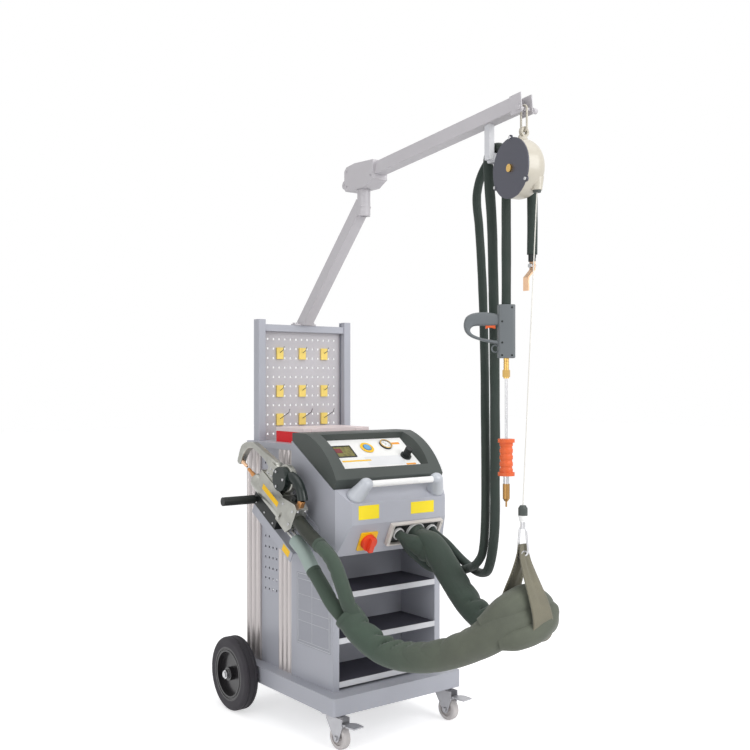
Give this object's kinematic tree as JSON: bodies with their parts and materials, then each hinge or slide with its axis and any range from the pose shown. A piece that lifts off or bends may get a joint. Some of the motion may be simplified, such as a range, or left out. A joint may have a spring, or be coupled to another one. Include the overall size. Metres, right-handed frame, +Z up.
{
  "type": "spot welder",
  "caption": "Trolley-mounted resistance spot welder with shelves, console, pegboard, swivel boom with balancer and sling, C-type gun in a side holder and a hanging stud gun.",
  "frame": {"origin": "on the floor, under the middle of the box round the machine without its cords", "axes": "+Z up, -Y towards the operator in front of the console, +X to the operator's right"},
  "size_m": [0.754, 1.297, 1.9271],
  "materials": {
    "grey_paint": "satin powder coat",
    "light_paint": "satin powder coat",
    "pillar_paint": "ribbed extrusion, satin",
    "hood_plastic": "moulded, fine grain",
    "panel_white": "printed membrane",
    "black_plastic": "moulded, matt",
    "blue_plastic": "moulded, glossy",
    "red_plastic": "moulded, glossy",
    "yellow_plastic": "moulded, semi gloss",
    "clear_plastic": "clear moulded lid with a pink tint",
    "white_tube": "white enamel",
    "bare_steel": "zinc plated and brushed",
    "cast_alloy": "machined casting",
    "copper_tip": "bare copper alloy",
    "brass_metal": "turned brass",
    "gun_grey": "moulded, matt",
    "orange_rubber": "soft moulded grip",
    "tyre_rubber": "moulded tyre",
    "caster_grey": "moulded wheel",
    "mat_rubber": "ribbed mat",
    "sleeve_cloth": "woven cable sleeve",
    "lead_cloth": "woven cable sleeve",
    "sling_cloth": "canvas webbing",
    "balancer_cream": "cast and painted",
    "balancer_slate": "dark painted cover",
    "rope_white": "thin braided rope",
    "core_steel": "laminated core and windings"
  },
  "bodies": {
    "base": {"base_tray": "grey_paint", "rear_axle": "brass_metal", "caster_plates": "bare_steel", "side_pillars": "pillar_paint", "cabinet_panels": "grey_paint", "bay_liner": "grey_paint", "shelves": "light_paint", "shelf_mats": "mat_rubber", "top_deck": "grey_paint", "nose_housing": "grey_paint", "console_hood": "hood_plastic", "control_panel": "panel_white", "pressure_gauge": "black_plastic", "main_switch_plate": "yellow_plastic", "outlet_frame": "light_paint", "handle_tube": "white_tube", "handle_brackets": "cast_alloy", "tool_box": "red_plastic", "pegboard_frame": "grey_paint", "pegboard_panel": "light_paint", "peg_hooks": "yellow_plastic", "mast": "grey_paint", "c_gun_body": "cast_alloy", "c_gun_arm": "cast_alloy", "c_gun_grips": "black_plastic", "gun_holder": "grey_paint", "transformer": "core_steel", "main_sleeve": "sleeve_cloth", "gun_sleeves": "lead_cloth", "lead_sleeves": "lead_cloth"},
    "wheel_left": {"rear_tyre_left": "tyre_rubber", "rear_hub_left": "black_plastic"},
    "wheel_right": {"rear_tyre_right": "tyre_rubber", "rear_hub_right": "black_plastic"},
    "caster_left": {"caster_fork_left": "bare_steel"},
    "caster_right": {"caster_fork_right": "bare_steel"},
    "caster_left_roller": {"caster_wheel_left": "caster_grey"},
    "caster_right_roller": {"caster_wheel_right": "caster_grey"},
    "brake_left": {"caster_brake_left": "bare_steel"},
    "brake_right": {"caster_brake_right": "bare_steel"},
    "button": {"panel_button": "blue_plastic"},
    "regulator": {"regulator_knob": "black_plastic"},
    "main_switch": {"main_switch_knob": "red_plastic"},
    "lid": {"tool_box_lid": "clear_plastic"},
    "boom": {"pivot_bracket": "grey_paint", "boom_tube": "light_paint", "cable_hanger": "light_paint", "balancer_housing": "balancer_cream", "balancer_cover": "balancer_slate", "balancer_rope": "rope_white", "stud_gun_body": "gun_grey", "hammer_rod": "brass_metal", "ground_lug": "copper_tip"},
    "drum": {"balancer_drum": "bare_steel"},
    "sling": {"rope_hook": "bare_steel", "cable_sling": "sling_cloth"},
    "stud_trigger": {"stud_gun_trigger": "orange_rubber"},
    "hammer": {"slide_hammer": "orange_rubber"},
    "electrode": {"c_gun_electrode": "copper_tip"},
    "c_trigger": {"c_gun_trigger": "black_plastic"}
  },
  "joints": [
    {"name": "rear_wheel_left", "type": "hinge", "parent": "base", "child": "wheel_left", "pos_m": [-0.253, 0.52352, 0.125], "axis": [1, 0, 0], "continuous": true},
    {"name": "caster_swivel_left", "type": "hinge", "parent": "base", "child": "caster_left", "pos_m": [-0.181, 0.02252, 0.06], "axis": [0, 0, 1], "continuous": true},
    {"name": "caster_roll_left", "type": "hinge", "parent": "caster_left", "child": "caster_left_roller", "pos_m": [-0.17807, -0.00533, 0.0375], "axis": [0.9945, 0.1045, 0], "continuous": true},
    {"name": "brake_pedal_left", "type": "hinge", "parent": "caster_left", "child": "brake_left", "pos_m": [-0.17598, -0.02522, 0.077], "axis": [0.9945, 0.1045, 0], "range_deg": [0, 12]},
    {"name": "rear_wheel_right", "type": "hinge", "parent": "base", "child": "wheel_right", "pos_m": [0.335, 0.52352, 0.125], "axis": [1, 0, 0], "continuous": true},
    {"name": "caster_swivel_right", "type": "hinge", "parent": "base", "child": "caster_right", "pos_m": [0.263, 0.02252, 0.06], "axis": [0, 0, 1], "continuous": true},
    {"name": "caster_roll_right", "type": "hinge", "parent": "caster_right", "child": "caster_right_roller", "pos_m": [0.26593, -0.00533, 0.0375], "axis": [0.9945, 0.1045, 0], "continuous": true},
    {"name": "brake_pedal_right", "type": "hinge", "parent": "caster_right", "child": "brake_right", "pos_m": [0.26802, -0.02522, 0.077], "axis": [0.9945, 0.1045, 0], "range_deg": [0, 12]},
    {"name": "main_switch_turn", "type": "hinge", "parent": "base", "child": "main_switch", "pos_m": [-0.071, -0.00827, 0.62666], "axis": [0, -0.8962, -0.4437], "range_deg": [0, 90]},
    {"name": "button_press", "type": "slide", "parent": "base", "child": "button", "axis": [0, 0.5878, -0.809], "range_m": [0, 0.0015], "stiffness_N_per_m": 400, "springref_m": -0.0005},
    {"name": "regulator_turn", "type": "hinge", "parent": "base", "child": "regulator", "pos_m": [0.165, 0.09271, 0.88866], "axis": [0, -0.5878, 0.809], "range_deg": [-135, 135]},
    {"name": "lid_hinge", "type": "hinge", "parent": "base", "child": "lid", "pos_m": [0.009, 0.45652, 0.9664], "axis": [-1, 0, 0], "range_deg": [0, 95]},
    {"name": "boom_swivel", "type": "hinge", "parent": "base", "child": "boom", "pos_m": [0.041, 0.16802, 1.8], "axis": [0, 0, 1], "range_deg": [-25, 25], "deforming": ["main_sleeve", "lead_sleeves"]},
    {"name": "rope_pull", "type": "slide", "parent": "boom", "child": "sling", "axis": [0.0045, 0.0654, -0.9978], "range_m": [-0.1, 0.12], "deforming": ["balancer_rope", "main_sleeve"]},
    {"name": "drum_turn", "type": "hinge", "parent": "boom", "child": "drum", "pos_m": [0.041, -0.56798, 1.719], "axis": [0.9848, -0.1736, 0], "range_deg": [-103.31, 123.78]},
    {"name": "stud_trigger_press", "type": "slide", "parent": "boom", "child": "stud_trigger", "axis": [0, 0, 1], "range_m": [0, 0.005], "stiffness_N_per_m": 300, "springref_m": -0.004},
    {"name": "hammer_slide", "type": "slide", "parent": "boom", "child": "hammer", "axis": [0, 0, 1], "range_m": [0, 0.165]},
    {"name": "electrode_stroke", "type": "slide", "parent": "base", "child": "electrode", "axis": [0, 0.8695, 0.4939], "range_m": [0, 0.012]},
    {"name": "c_trigger_press", "type": "slide", "parent": "base", "child": "c_trigger", "axis": [0, 0.4939, -0.8695], "range_m": [0, 0.004], "stiffness_N_per_m": 300, "springref_m": -0.004}
  ],
  "couplings": [
    {"joint": "drum_turn", "follows": "rope_pull", "rad_per_m": 17.857}
  ]
}
